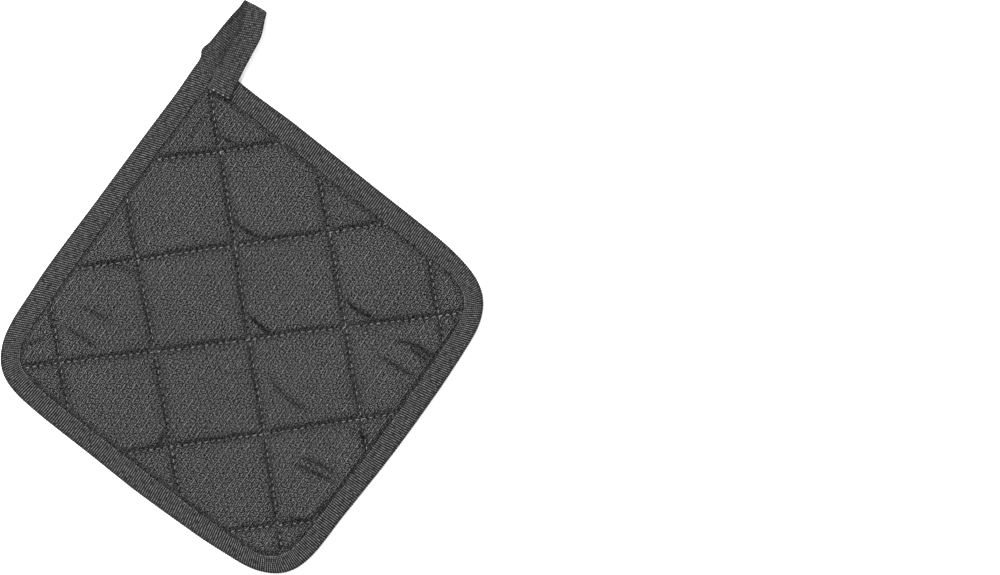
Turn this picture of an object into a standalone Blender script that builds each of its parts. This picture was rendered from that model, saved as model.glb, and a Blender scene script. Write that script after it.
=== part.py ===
"""Square quilted pot holder with a taped edge and a hanging loop at one corner.

It lies flat, front up, on the plane z = 0. The pad stands on one corner in plan: +Y runs from
its middle to the corner with the loop, so the four sides run at about 45 degrees and the
quilting lines run close to X and Y. Lengths are in metres and angles in degrees.
"""

from collections import namedtuple
import math

import bmesh
import bpy
from mathutils import Vector
from mathutils.geometry import interpolate_bezier

MM = 0.001

# Where the middle of the pad lies: the origin is under the middle of the whole object, whose
# loop reaches past the pad on one side only.
PAD_MIDDLE = Vector((0.6 * MM, -20.4 * MM, 0))

# The outline, clockwise. x and y are where two sides would meet, and the corner is rounded from
# `reach` before that point to `reach` after it. `bow` is how far the side that starts there
# swells outwards.
Corner = namedtuple("Corner", "name x y reach bow")
CORNERS = (
    Corner("loop corner", 1.2 * MM, 145.7 * MM, 0, 0.3 * MM),
    Corner("right corner", 140.4 * MM, -1.5 * MM, 45 * MM, 1.1 * MM),
    Corner("bottom corner", 0.9 * MM, -143.2 * MM, 45 * MM, 1.0 * MM),
    Corner("left corner", -141.9 * MM, -0.2 * MM, 45 * MM, 1.0 * MM),
)
CORNER_FULLNESS = 0.78  # handle length over reach: more is squarer
SIDE_STEPS = 6
CORNER_STEPS = 10

# Quilting lines. `offset` is where a line crosses the pad's X or Y axis, and `lean` is how far
# it turns counter-clockwise from the other axis.
Seam = namedtuple("Seam", "offset lean")
UPRIGHT_SEAMS = (
    Seam(-97.6 * MM, 2.0),
    Seam(-47.8 * MM, 2.1),
    Seam(2.7 * MM, 0.9),
    Seam(53.6 * MM, 1.8),
    Seam(102.9 * MM, 1.1),
)
LEVEL_SEAMS = (
    Seam(-105.4 * MM, -1.1),
    Seam(-56.4 * MM, 0.4),
    Seam(-6.3 * MM, -0.8),
    Seam(43.6 * MM, 0.3),
    Seam(93.9 * MM, -0.3),
)
SEAM_PITCH = 50 * MM
# Grid lines between two seams, as shares of the way: close together beside the stitching.
GRADING = (0, 0.03, 0.085, 0.18, 0.32, 0.5, 0.68, 0.82, 0.915, 0.97)
SHORTEST_EDGE = 0.7 * MM  # what the trimmed grid keeps

# The pad's heights above the surface that it lies on.
EDGE_LOW = 1.3 * MM  # the thin edge inside the tape
EDGE_HIGH = 3.3 * MM
SEAM_HIGH = 4.6 * MM  # the front, down in the stitching
FRONT_CROWN = 3.7 * MM  # what the filling adds in the middle of a diamond
BACK_CROWN = 2.0 * MM  # the same below, where the surface flattens it
PUFF_RUN = 6.5 * MM  # how quickly the cloth rises beside a seam

# The tape round the edge, folded over the pad's edge.
TAPE = 1.0 * MM
TAPE_THICKNESS = 4.6 * MM
TAPE_WIDTH = 10.7 * MM
TAPE_SHOULDER = 1.6 * MM  # how far in the fold is round
FOLD_STEPS = 4
GAP = 0.3 * MM

# The hanging loop: the same tape, folded flat, from the loop corner out and back onto the front.
LOOP_WIDTH = 12.5 * MM
LOOP_THICKNESS = 2.0 * MM
LOOP_EDGE = 0.5 * MM
LOOP_STEPS = 4
# The middle of the tape along the loop, and the way its width points in plan.
Place = namedtuple("Place", "name x y z across")
LOOP_ROUTE = (
    Place("butts on the edge", 4.7 * MM, 142.9 * MM, 2.3 * MM, -46.6),
    Place("lies back", 13.6 * MM, 151.6 * MM, 1.7 * MM, -47),
    Place("lies back", 20.8 * MM, 158.2 * MM, 1.7 * MM, -45),
    Place("turns up", 26.6 * MM, 162.6 * MM, 2.9 * MM, -42),
    Place("tip", 29.6 * MM, 165.6 * MM, 6.0 * MM, -39),
    Place("turns back", 27.9 * MM, 162.0 * MM, 9.3 * MM, -36),
    Place("arches", 24.6 * MM, 153.9 * MM, 10.5 * MM, -31),
    Place("arches", 19.0 * MM, 145.5 * MM, 9.7 * MM, -34),
    Place("comes down", 13.0 * MM, 136.9 * MM, 7.4 * MM, -37),
    Place("lies on the tape", 8.6 * MM, 130.9 * MM, 6.1 * MM, -41),
    Place("sewn end", 4.0 * MM, 124.5 * MM, 6.0 * MM, -44),
)

# Colours in linear light.
CLOTH_COLOUR = (0.070, 0.070, 0.071, 1)
CLOTH_ROUGHNESS = 0.92
TAPE_COLOUR = (0.072, 0.072, 0.074, 1)
TAPE_ROUGHNESS = 0.85
SHARP_ANGLE = 45


def clear_scene():
    """Remove whatever the scene holds."""
    for item in list(bpy.data.objects):
        bpy.data.objects.remove(item, do_unlink=True)


def cloth_material(name, colour, roughness):
    """A plain Principled material for cloth."""
    material = bpy.data.materials.new(name)
    material.use_nodes = True
    shader = material.node_tree.nodes["Principled BSDF"]
    shader.inputs["Base Color"].default_value = colour
    shader.inputs["Roughness"].default_value = roughness
    shader.inputs["Metallic"].default_value = 0
    return material


def add_object(name, bm, material):
    """Turn a bmesh into a smooth-shaded object, with the pad's middle at PAD_MIDDLE."""
    bmesh.ops.recalc_face_normals(bm, faces=bm.faces)
    mesh = bpy.data.meshes.new(name)
    bm.to_mesh(mesh)
    bm.free()
    mesh.shade_smooth()
    mesh.set_sharp_from_angle(angle=math.radians(SHARP_ANGLE))
    mesh.materials.append(material)
    item = bpy.data.objects.new(name, mesh)
    item.location = PAD_MIDDLE
    bpy.context.collection.objects.link(item)


def outline_points():
    """The pad's outer edge, clockwise from the loop corner: bowed sides and soft corners."""
    sides = []
    for corner, following in zip(CORNERS, CORNERS[1:] + CORNERS[:1]):
        start, end = Vector((corner.x, corner.y, 0)), Vector((following.x, following.y, 0))
        along = (end - start).normalized()
        start += along * corner.reach
        end -= along * following.reach
        length = (end - start).length
        slope = Vector((-along.y, along.x, 0)) * 4 * corner.bow / length
        sides.append((start, (along + slope).normalized(), end, (along - slope).normalized()))
    points = []
    for i, (start, leave, end, arrive) in enumerate(sides):
        third = (end - start).length / 3
        side = interpolate_bezier(
            start, start + leave * third, end - arrive * third, end, SIDE_STEPS + 1
        )
        points += side[:-1]
        reach = CORNERS[(i + 1) % len(CORNERS)].reach
        if reach:
            onward, turned = sides[(i + 1) % len(sides)][:2]
            handle = reach * CORNER_FULLNESS
            rounding = interpolate_bezier(
                end, end + arrive * handle, onward - turned * handle, onward, CORNER_STEPS + 1
            )
            points += rounding[:-1]
    return points


def edge_stations():
    """Each outline point with the way inwards, as long as a mitre needs for one metre of inset."""
    points = outline_points()
    stations = []
    for before, point, after in zip(points[-1:] + points[:-1], points, points[1:] + points[:1]):
        inward = []
        for way in (point - before, after - point):
            inward.append(Vector((way.y, -way.x, 0)).normalized())
        mitre = (inward[0] + inward[1]) / (1 + inward[0].dot(inward[1]))
        stations.append((point, mitre))
    return stations


def new_verts(extruded):
    """The vertices that an extrude operator has made."""
    return {part for part in extruded["geom"] if isinstance(part, bmesh.types.BMVert)}


def swept_body(section, frames, closed):
    """Extrude a section along frames of (point, across, up); each section row is (across, up)."""
    bm = bmesh.new()
    place = bm.verts.layers.float_vector.new("place in section")
    ring = []
    for across, up in section:
        vert = bm.verts.new()
        vert[place] = (across, up, 0)
        ring.append(vert)
    edges = [bm.edges.new(pair) for pair in zip(ring, ring[1:] + ring[:1])]
    first_edges = edges
    for i, (point, across, up) in enumerate(frames):
        if i:
            grown = bmesh.ops.extrude_edge_only(bm, edges=edges)
            ring = new_verts(grown)
            edges = [part for part in grown["geom"] if isinstance(part, bmesh.types.BMEdge)]
            edges = [edge for edge in edges if ring.issuperset(edge.verts)]
        for vert in ring:
            vert.co = point + across * vert[place].x + up * vert[place].y
    if closed:
        bmesh.ops.bridge_loops(bm, edges=first_edges + edges)
    else:
        bmesh.ops.contextual_create(bm, geom=first_edges)
        bmesh.ops.contextual_create(bm, geom=edges)
    bmesh.ops.triangulate(bm, faces=bm.faces)
    return bm


def seam_between(seams, position):
    """The line at a position counted in seams, as (offset, slope); outside, the pitch goes on."""
    low = min(max(math.floor(position), 0), len(seams) - 2)
    share = position - low
    inside = min(max(share, 0), 1)
    offset = seams[low].offset + (seams[low + 1].offset - seams[low].offset) * inside
    offset += SEAM_PITCH * (share - inside)
    lean = seams[low].lean + (seams[low + 1].lean - seams[low].lean) * inside
    return offset, math.tan(math.radians(lean))


def graded_positions(seams):
    """Positions of the grid lines, from one pitch before the first seam to one after the last."""
    whole = range(-1, len(seams))
    return [seam + share for seam in whole for share in GRADING] + [len(seams)]


def seam_grid():
    """A flat grid whose lines follow the quilting, crowded beside each seam."""
    columns = graded_positions(UPRIGHT_SEAMS)
    rows = graded_positions(LEVEL_SEAMS)
    bm = bmesh.new()
    bmesh.ops.create_grid(bm, x_segments=len(columns) - 1, y_segments=len(rows) - 1, size=1)
    for vert in bm.verts:
        column = round((vert.co.x + 1) / 2 * (len(columns) - 1))
        row = round((vert.co.y + 1) / 2 * (len(rows) - 1))
        across, upright_slope = seam_between(UPRIGHT_SEAMS, columns[column])
        height, level_slope = seam_between(LEVEL_SEAMS, rows[row])
        x = (across - upright_slope * height) / (1 + upright_slope * level_slope)
        vert.co = (x, height + level_slope * x, 0)
    return bm


def inset_distance(x, y, stations):
    """How far a point lies inside the pad's outline."""
    point = Vector((x, y, 0))
    distances = []
    for (start, _), (end, _) in zip(stations, stations[1:] + stations[:1]):
        inward = Vector(((end - start).y, -(end - start).x, 0)).normalized()
        distances.append((point - start).dot(inward))
    return min(distances)


def rise(distance):
    """0 on a seam, levelling off to 1 away from it."""
    return 1 - math.exp(-max(distance, 0) / PUFF_RUN)


def pad_heights(x, y, stations):
    """The height of the pad's back and front at one point of its plan."""
    upright = min(
        abs(x - seam.offset + math.tan(math.radians(seam.lean)) * y) for seam in UPRIGHT_SEAMS
    )
    level = min(
        abs(y - seam.offset - math.tan(math.radians(seam.lean)) * x) for seam in LEVEL_SEAMS
    )
    edge = rise(inset_distance(x, y, stations) - TAPE_WIDTH - GAP)
    puff = rise(upright) * rise(level) * edge
    front = EDGE_HIGH + (SEAM_HIGH - EDGE_HIGH) * edge + FRONT_CROWN * puff
    back = max(EDGE_LOW - BACK_CROWN * puff, 0)
    return back, front


def trim_to_edge(bm, inset, stations):
    """Cut a flat mesh along the outline moved in by `inset`."""
    edge = [point + mitre * inset for point, mitre in stations]
    for start, end in zip(edge, edge[1:] + edge[:1]):
        way = end - start
        bmesh.ops.bisect_plane(
            bm,
            geom=bm.verts[:] + bm.edges[:] + bm.faces[:],
            plane_co=start,
            plane_no=(-way.y, way.x, 0),
            clear_outer=True,
        )


def nearest_mitre(point, inset, stations):
    """The way inwards at the place on the inset outline that lies nearest to a point."""
    nearest = None
    for (start, start_mitre), (end, end_mitre) in zip(stations, stations[1:] + stations[:1]):
        corner = start + start_mitre * inset
        way = end + end_mitre * inset - corner
        share = min(max((point - corner).dot(way) / way.length_squared, 0), 1)
        distance = (corner + way * share - point).length
        if nearest is None or distance < nearest[0]:
            nearest = (distance, start_mitre.lerp(end_mitre, share))
    return nearest[1]


def build_quilted_pad():
    """The filled square, sewn down in diamonds, its thin edge inside the tape."""
    stations = edge_stations()
    shown_inset = TAPE_WIDTH + GAP
    edge_inset = TAPE + 2 * GAP
    bm = seam_grid()
    trim_to_edge(bm, shown_inset, stations)
    bmesh.ops.remove_doubles(bm, verts=bm.verts, dist=SHORTEST_EDGE)
    flange = bm.verts.layers.int.new("flange")
    rim = [edge for edge in bm.edges if edge.is_boundary]
    for vert in {vert for edge in rim for vert in edge.verts}:
        vert[flange] = 1
    for vert in new_verts(bmesh.ops.extrude_edge_only(bm, edges=rim)):
        vert.co -= nearest_mitre(vert.co, shown_inset, stations) * (shown_inset - edge_inset)
    back = new_verts(bmesh.ops.extrude_face_region(bm, geom=bm.faces[:], use_keep_orig=True))
    for vert in bm.verts:
        low, high = EDGE_LOW, EDGE_HIGH
        if not vert[flange]:
            low, high = pad_heights(vert.co.x, vert.co.y, stations)
        vert.co.z = low if vert in back else high
    bmesh.ops.triangulate(bm, faces=bm.faces)
    add_object("quilted_pad", bm, cloth_material("quilted cloth", CLOTH_COLOUR, CLOTH_ROUGHNESS))


def build_edge_binding():
    """The ribbed tape folded over the edge all the way round, flat below."""
    middle = TAPE_THICKNESS / 2
    fold = [math.pi * step / FOLD_STEPS for step in range(FOLD_STEPS + 1)]
    outside = [(TAPE_SHOULDER * (1 - math.sin(a)), middle * (1 - math.cos(a))) for a in fold]
    slot_end = TAPE + GAP / 2
    slot = [
        (TAPE_WIDTH, TAPE_THICKNESS),
        (TAPE_WIDTH, TAPE_THICKNESS - TAPE),
        (slot_end, TAPE_THICKNESS - TAPE),
        (slot_end, TAPE),
        (TAPE_WIDTH, TAPE),
        (TAPE_WIDTH, 0),
    ]
    up = Vector((0, 0, 1))
    frames = [(point, mitre, up) for point, mitre in edge_stations()]
    bm = swept_body(outside + slot, frames, closed=True)
    add_object("edge_binding", bm, cloth_material("ribbed tape", TAPE_COLOUR, TAPE_ROUGHNESS))


def loop_frames():
    """Frames along a smooth curve through the loop's route: centre, across the tape, its face."""
    centres = [Vector((place.x, place.y, place.z)) for place in LOOP_ROUTE]
    angles = [math.radians(place.across) for place in LOOP_ROUTE]
    steps = []
    last = len(centres) - 1
    for i in range(last):
        before, after = centres[max(i - 1, 0)], centres[min(i + 2, last)]
        curve = interpolate_bezier(
            centres[i],
            centres[i] + (centres[i + 1] - before) / 6,
            centres[i + 1] - (after - centres[i]) / 6,
            centres[i + 1],
            LOOP_STEPS + 1,
        )
        for k, point in enumerate(curve[:-1]):
            angle = angles[i] + (angles[i + 1] - angles[i]) * k / LOOP_STEPS
            steps.append((point, angle))
    steps.append((centres[-1], angles[-1]))
    frames = []
    for i, (point, angle) in enumerate(steps):
        along = steps[min(i + 1, len(steps) - 1)][0] - steps[max(i - 1, 0)][0]
        across = Vector((math.cos(angle), math.sin(angle), 0))
        frames.append((point, across, across.cross(along).normalized()))
    return frames


def build_hanging_loop():
    """The tape folded flat, turned back on itself and sewn down on the front."""
    half, face = LOOP_WIDTH / 2, LOOP_THICKNESS / 2
    section = (
        (-half, face - LOOP_EDGE),
        (-half + LOOP_EDGE, face),
        (half - LOOP_EDGE, face),
        (half, face - LOOP_EDGE),
        (half, -face + LOOP_EDGE),
        (half - LOOP_EDGE, -face),
        (-half + LOOP_EDGE, -face),
        (-half, -face + LOOP_EDGE),
    )
    bm = swept_body(section, loop_frames(), closed=False)
    add_object("hanging_loop", bm, cloth_material("loop tape", TAPE_COLOUR, TAPE_ROUGHNESS))


def main():
    clear_scene()
    build_quilted_pad()
    build_edge_binding()
    build_hanging_loop()


main()
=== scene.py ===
"""Looks of a quilted pot holder: padded cloth, ribbed edge tape, hanging loop and stitching.

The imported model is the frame: it lies flat, front up, on z = 0, and +Y runs to the corner with
the loop. Lengths are in metres. "Pad place" below means x and y from the middle of the pad.
"""

from collections import namedtuple
import math

import bmesh
import bpy
import numpy as np
from bpy.props import FloatProperty, FloatVectorProperty, PointerProperty
from mathutils import Matrix, Vector, noise
from mathutils.bvhtree import BVHTree
from mathutils.geometry import interpolate_bezier


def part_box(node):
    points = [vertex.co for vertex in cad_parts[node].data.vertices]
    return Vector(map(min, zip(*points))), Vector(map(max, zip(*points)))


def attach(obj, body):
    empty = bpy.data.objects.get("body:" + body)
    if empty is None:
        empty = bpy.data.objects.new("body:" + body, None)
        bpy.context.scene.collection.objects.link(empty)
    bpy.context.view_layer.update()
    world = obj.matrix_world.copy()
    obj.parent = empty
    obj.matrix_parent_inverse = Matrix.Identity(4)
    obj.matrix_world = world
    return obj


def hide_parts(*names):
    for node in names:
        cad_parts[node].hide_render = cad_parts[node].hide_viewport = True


bl_info = {
    "name": "Quilted pot holder",
    "version": (1, 0, 0),
    "blender": (4, 5, 0),
    "location": "3D View > Sidebar > Pot holder",
    "description": "Padded cloth, ribbed tape, hanging loop and stitching on the packed model",
    "category": "Add Mesh",
}

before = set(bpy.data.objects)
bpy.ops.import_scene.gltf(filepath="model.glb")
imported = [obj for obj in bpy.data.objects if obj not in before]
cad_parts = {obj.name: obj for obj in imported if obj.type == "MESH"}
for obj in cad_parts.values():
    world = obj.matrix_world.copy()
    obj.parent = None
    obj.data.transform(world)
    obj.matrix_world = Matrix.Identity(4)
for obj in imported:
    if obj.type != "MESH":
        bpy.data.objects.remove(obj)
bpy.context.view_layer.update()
BINDING_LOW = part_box("edge_binding")[0]

MM = 0.001
BODY = "root"

# The middle of the pad, from the box of the tape round it.
LEFT_REACH = 128.2 * MM
LOWER_REACH = 129.2 * MM
PAD_MIDDLE = Vector((BINDING_LOW.x + LEFT_REACH, BINDING_LOW.y + LOWER_REACH, 0))

# The outline, clockwise. x and y are where two sides would meet, and the corner is rounded from
# `reach` before that point to `reach` after it. `bow` is how far the side that starts there
# swells outwards.
Corner = namedtuple("Corner", "name x y reach bow")
CORNERS = (
    Corner("loop corner", 1.2 * MM, 145.7 * MM, 0, 0.3 * MM),
    Corner("right corner", 140.4 * MM, -1.5 * MM, 45 * MM, 1.1 * MM),
    Corner("bottom corner", 0.9 * MM, -143.2 * MM, 45 * MM, 1.0 * MM),
    Corner("left corner", -141.9 * MM, -0.2 * MM, 45 * MM, 1.0 * MM),
)
CORNER_FULLNESS = 0.78
SIDE_STEPS = 200
CORNER_STEPS = 120
CHORD_STEPS = 10  # distances from the outline are measured from chords this many points long

# Quilting lines. `offset` is where a line crosses the pad's X or Y axis, and `lean` is how far
# it turns counter-clockwise from the other axis, in degrees.
Seam = namedtuple("Seam", "offset lean")
UPRIGHT_SEAMS = (
    Seam(-97.6 * MM, 2.0),
    Seam(-47.8 * MM, 2.1),
    Seam(2.7 * MM, 0.9),
    Seam(53.6 * MM, 1.8),
    Seam(102.9 * MM, 1.1),
)
LEVEL_SEAMS = (
    Seam(-105.4 * MM, -1.1),
    Seam(-56.4 * MM, 0.4),
    Seam(-6.3 * MM, -0.8),
    Seam(43.6 * MM, 0.3),
    Seam(93.9 * MM, -0.3),
)
SEAM_PITCH = 50 * MM
SEAM_SPAN = 300 * MM  # longer than any quilting line
SEAM_WANDER = 0.35 * MM  # how far a hand-guided line strays
WANDER_RUN = 19 * MM
LEVEL_NUMBERS = 9  # the level lines' numbers start here, so that they stray in their own way
STITCH_CLEAR = 0.4 * MM  # from the tape to the first quilting stitch

# The pad's heights above the surface that it lies on.
EDGE_LOW = 1.3 * MM  # inside the tape
EDGE_HIGH = 3.3 * MM
SEAM_HIGH = 4.2 * MM
BACK_CROWN = 2.0 * MM
LYING_LOW = 0.05 * MM  # the pressed flats of the back
UNDER_TAPE = 0.6 * MM  # it starts to rise this far under the tape, and over this width
RISE_WIDTH = 1.6 * MM
FOOT_WIDTH = 1.6 * MM  # the steep foot of a puff
DOME_REACH = 9 * MM  # how far in from the stitching it goes on rising
SEAM_HOLD = 0.6 * MM  # the thread holds cloth this near
SWELL_FRAMES = 20
SWELL_REACH = 2.2 * MM  # a swelling this high counts as two thirds full
FILLED_SHARE = 0.78  # how much of the crown follows the filling
SWOLLEN_SHARE = 0.32  # how much of it follows the swollen cloth
PRESS_SOFTNESS = 0.3 * MM  # how gently the back flattens on the surface
EDGE_FOOT = 3.0 * MM  # how far from the tape a puff has come up
FREE_FLANK = 0.2  # the steep share of a puff's height at its upper and its left side
HANGING_FLANK = 0.35  # and at its lower and its right side, which hang over the stitching
HANGS_RIGHT, HANGS_DOWN = 0.4 * MM, 0.8 * MM
DIP_DEPTH = 0.7 * MM  # how deep the thread draws the cloth down at its holes
DIP_WIDTH = 0.55 * MM
LEVEL_PULL = 1.4  # the level lines are sewn tighter than the upright ones
FINE_BESIDE = 2.4 * MM  # the front's mesh is finer this near a seam or a crease
GRID_GRADING = 0.4  # how much finer the cloth's mesh is beside the stitching
GRID_MERGE = 0.35 * MM

# Painted shade in the hollows: how dark, how far from the line it is darkest, and how wide.
Shade = namedtuple("Shade", "share middle width")
RIGHT_SHADE = Shade(0.52, 1.3 * MM, 0.85 * MM)
LOWER_SHADE = Shade(0.74, 2.0 * MM, 0.85 * MM)
NEAR_SHADE = Shade(0.36, 0, 3.2 * MM)
EDGE_SHADE = Shade(0.8, 0.3 * MM, 2.0 * MM)
# Painted shade at the needle holes, for a full dip.
DIP_SHADE = 1.4
# At the right corner the cloth bunches up against the tape, and the painted shade beside it fades.
BUNCHED_X, BUNCHED_Y = 113 * MM, 5 * MM
BUNCHED_WIDTH, BUNCHED_HEIGHT = 14 * MM, 26 * MM
BUNCHED_FADE = 0.85

# Soft unevenness: how high, how long a run, and a seed of its own.
Waves = namedtuple("Waves", "height run seed")
TAPE_WAVES = (Waves(0.25 * MM, 16 * MM, 2.2), Waves(0.2 * MM, 4 * MM, 3.5))
PULL_WAVES = (Waves(0.7 * MM, 5 * MM, 0), Waves(0.5 * MM, 1.9 * MM, 4.4))
PULL_REACH = 4 * MM  # the stitching pulls the cloth unevenly this far from it
FRONT_WAVES = (Waves(0.15 * MM, 14 * MM, 3.1), Waves(0.075 * MM, 6 * MM, 8.7))
BACK_WAVES = (Waves(0.5 * MM, 20 * MM, 5.5),)
SHADE_WAVES = (Waves(0.6, 1.3 * MM, 6.6),)

# The tape, and how it is folded over the pad's edge.
TAPE_WIDTH = 10.7 * MM
TAPE_THICKNESS = 4.6 * MM
TAPE_LAYER = 0.9 * MM
FLANGE_INSET = 4.0 * MM  # where the pad ends inside the tape

# How the tape lies round the edge: how far its ribs run ahead towards the open edge, as a slope,
# how wide it is, and how far its fold stands out past the plain outline. `share` is the share of
# the way round, clockwise from the loop corner.
Lay = namedtuple("Lay", "share slope width out")
TAPE_LAY = (
    Lay(0.00, 0.06, 11.2 * MM, -1.1 * MM),
    Lay(0.04, 0.07, 11.3 * MM, -1.1 * MM),
    Lay(0.08, 0.08, 11.2 * MM, -0.2 * MM),
    Lay(0.14, 0.08, 11.1 * MM, -0.05 * MM),
    Lay(0.20, 0.10, 10.8 * MM, 0.3 * MM),
    Lay(0.23, 0.16, 9.8 * MM, -0.2 * MM),
    Lay(0.275, 0.26, 9.9 * MM, 0.4 * MM),
    Lay(0.295, 0.24, 10.4 * MM, -0.05 * MM),
    Lay(0.33, 0.19, 10.5 * MM, 0.35 * MM),
    Lay(0.37, 0.14, 10.2 * MM, 0.35 * MM),
    Lay(0.44, 0.03, 10.0 * MM, -0.3 * MM),
    Lay(0.485, 0.10, 8.7 * MM, 1.3 * MM),
    Lay(0.51, 0.16, 8.5 * MM, 0.3 * MM),
    Lay(0.535, 0.20, 9.4 * MM, -0.2 * MM),
    Lay(0.56, 0.17, 10.1 * MM, 0.35 * MM),
    Lay(0.61, 0.10, 10.6 * MM, 0.5 * MM),
    Lay(0.655, 0.03, 10.8 * MM, -0.15 * MM),
    Lay(0.70, 0.00, 10.3 * MM, 0.05 * MM),
    Lay(0.73, 0.12, 9.9 * MM, 0.75 * MM),
    Lay(0.755, 0.25, 10.3 * MM, -0.05 * MM),
    Lay(0.785, 0.39, 11.2 * MM, -0.35 * MM),
    Lay(0.815, 0.39, 11.2 * MM, 0.25 * MM),
    Lay(0.88, 0.37, 11.1 * MM, -0.4 * MM),
    Lay(0.96, 0.35, 10.9 * MM, -0.15 * MM),
    Lay(1.00, 0.34, 10.7 * MM, 1.1 * MM),
)
RIB_WOBBLE = 0.35 * MM
WOBBLE_RUN = 5 * MM
EDGE_TAPE_START = 1.5 * MM
TUCK_LENGTH, TUCK_FADE = 9 * MM, 5 * MM  # the first end lies under the loop, pressed flatter
TUCK_DEPTH = 0.5 * MM
FOLD_OUT = 0.35 * MM  # how far the fold's soft edge stands out past the outline
# Painted light on the tape: shade on its fold, open edge, steep places and last end.
FOLD_SHADE_WIDTH = 1.1 * MM  # painted shade, or a lit fold's painted highlight, this far in
FOLD_SMOOTH_WIDTH = 1.6 * MM  # where it catches the light, its ribs are pressed flat
OPEN_EDGE_SHADE_WIDTH = 0.6 * MM
STEEP_SHADE = 1.2
END_SHADE, END_SHADE_WIDTH = 1.3, 0.8 * MM

# The hanging loop: where it leaves the edge, before the loop corner, the middle of the tape
# along it, and the way its width points in plan.
LOOP_LEAVES = 9 * MM
FLATTENS_FROM, FLATTENS_OVER = 8.5 * MM, 8 * MM  # from the tape's thickness to the loop's
LIT_LENGTH, LIT_OVER = 15 * MM, 3 * MM  # the fold of its last length gets a painted highlight
LIT_FOLD = 1.05
LOOP_WIDTH = 13.2 * MM
LOOP_THICKNESS = 2.0 * MM
Place = namedtuple("Place", "name x y z across")
LOOP_ROUTE = (
    Place("butts on the edge", 4.7 * MM, 142.9 * MM, 2.3 * MM, -46.6),
    Place("lies back", 13.6 * MM, 151.6 * MM, 1.7 * MM, -47),
    Place("lies back", 20.8 * MM, 158.2 * MM, 1.7 * MM, -45),
    Place("turns up", 26.6 * MM, 163.1 * MM, 2.9 * MM, -41),
    Place("tip", 30.2 * MM, 166.4 * MM, 6.0 * MM, -37),
    Place("turns back", 28.9 * MM, 162.4 * MM, 9.3 * MM, -35),
    Place("arches", 25.4 * MM, 153.4 * MM, 10.5 * MM, -31),
    Place("arches", 19.5 * MM, 145.2 * MM, 9.7 * MM, -34),
    Place("comes down", 13.2 * MM, 136.8 * MM, 7.4 * MM, -36),
    Place("lies on the tape", 9.0 * MM, 130.7 * MM, 6.0 * MM, -38),
    Place("sewn end", 4.7 * MM, 123.5 * MM, 5.9 * MM, -37),
)

# How the loop's tape lies, by the share of the way along it.
LOOP_LAY = (
    Lay(0.00, 0.34, 10.8 * MM, 1.1 * MM),
    Lay(0.06, 0.34, 10.8 * MM, 1.4 * MM),
    Lay(0.10, 0.24, 11.7 * MM, 2.3 * MM),
    Lay(0.165, 0.08, 13.2 * MM, 0.45 * MM),
    Lay(0.32, 0.02, 13.2 * MM, 0.5 * MM),
    Lay(0.46, -0.08, 13.2 * MM, 0.3 * MM),
    Lay(0.55, -0.27, 13.2 * MM, 0.0 * MM),
    Lay(0.79, -0.20, 13.2 * MM, 0.0 * MM),
    Lay(1.00, -0.05, 13.2 * MM, 0.0 * MM),
)

# Creases on the front (pad places, in mm): each runs from its start past its bend to its end.
# `left` and `right` are how far the cloth takes to come up again on each hand of that way.
Crease = namedtuple("Crease", "name x y bend_x bend_y end_x end_y depth left right")
CREASES = (
    Crease("tuck above the middle", 2.4, 58.2, 7.7, 51.2, 15.4, 46.0, 2.7, 1.9, 5.0),
    Crease("tuck in the middle", 4.2, 5.9, 8.7, 0.1, 13.9, -4.7, 3.0, 1.9, 5.0),
    Crease("tuck on the right", 55.9, 7.2, 61.4, 0.2, 69.6, -4.6, 3.0, 1.9, 5.0),
    Crease("arc on the left", -67.9, 44.3, -59.8, 41.6, -53.2, 35.9, 1.5, 1.8, 1.6),
    Crease("left slant, upper", -83.1, 23.1, -75.8, 18.4, -68.7, 12.6, 1.7, 2.1, 2.3),
    Crease("left slant, lower", -92.5, 13.3, -85.3, 7.5, -78.2, 1.2, 2.0, 1.8, 2.1),
    Crease("sweep below the middle", 9.5, -25.0, 16.2, -37.6, 28.9, -49.0, 1.8, 1.7, 2.3),
    Crease("right slant, upper", 79.5, -18.6, 88.9, -22.0, 97.6, -30.2, 2.4, 1.2, 1.0),
    Crease("right slant, middle", 84.9, -22.0, 89.8, -26.6, 94.6, -31.7, 2.2, 1.0, 1.5),
    Crease("right slant, lower", 69.5, -24.9, 77.6, -31.4, 85.1, -38.3, 2.0, 1.5, 1.8),
    Crease("double fold, lower", 16.3, -74.8, 26.1, -80.4, 35.8, -87.1, 2.2, 1.3, 1.5),
    Crease("double fold, upper", 20.3, -71.4, 30.1, -76.9, 38.7, -83.9, 2.0, 1.4, 1.3),
    Crease("hook on the lower right", 46.1, -58.8, 54.3, -65.3, 54.6, -73.8, 1.9, 1.5, 1.7),
    Crease("cut corner, lower left", -49.1, -48.6, -50.7, -52.6, -53.9, -55.9, 2.2, 1.6, 1.4),
    Crease("bottom slant, left", 9.3, -101.4, 15.8, -104.5, 21.1, -104.7, 1.6, 1.4, 1.7),
    Crease("bottom slant, right", 21.1, -104.7, 25.8, -101.6, 30.1, -96.9, 1.6, 1.5, 1.7),
    Crease("top tuck", 2.2, 101.4, 5.6, 98.8, 8.6, 97.3, 2.0, 1.3, 3.0),
    Crease("below the loop's end", 0.3, 125.4, 4.2, 122.0, 8.4, 119.0, 2.0, 0.9, 0.9),
    Crease("right corner, upper", 107.5, 21.0, 113.0, 12.5, 115.9, 4.3, 0.6, 1.3, 1.4),
    Crease("right corner, lower", 106.4, -7.8, 111.1, -12.2, 115.7, -17.1, 1.4, 1.4, 1.5),
    Crease("left corner", -114.6, 7.3, -109.2, 7.6, -103.6, 9.5, 1.5, 1.5, 1.5),
    Crease("bottom corner", -1.6, -114.8, 3.4, -117.1, 8.5, -118.8, 1.1, 1.4, 1.4),
    Crease("top left slant", -4.0, 114.0, -9.1, 107.8, -15.3, 101.2, 1.1, 1.6, 1.6),
)
CREASE_STEPS = 10
CREASE_ENDS = 0.08  # how far along half a wave the depth starts and ends
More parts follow.
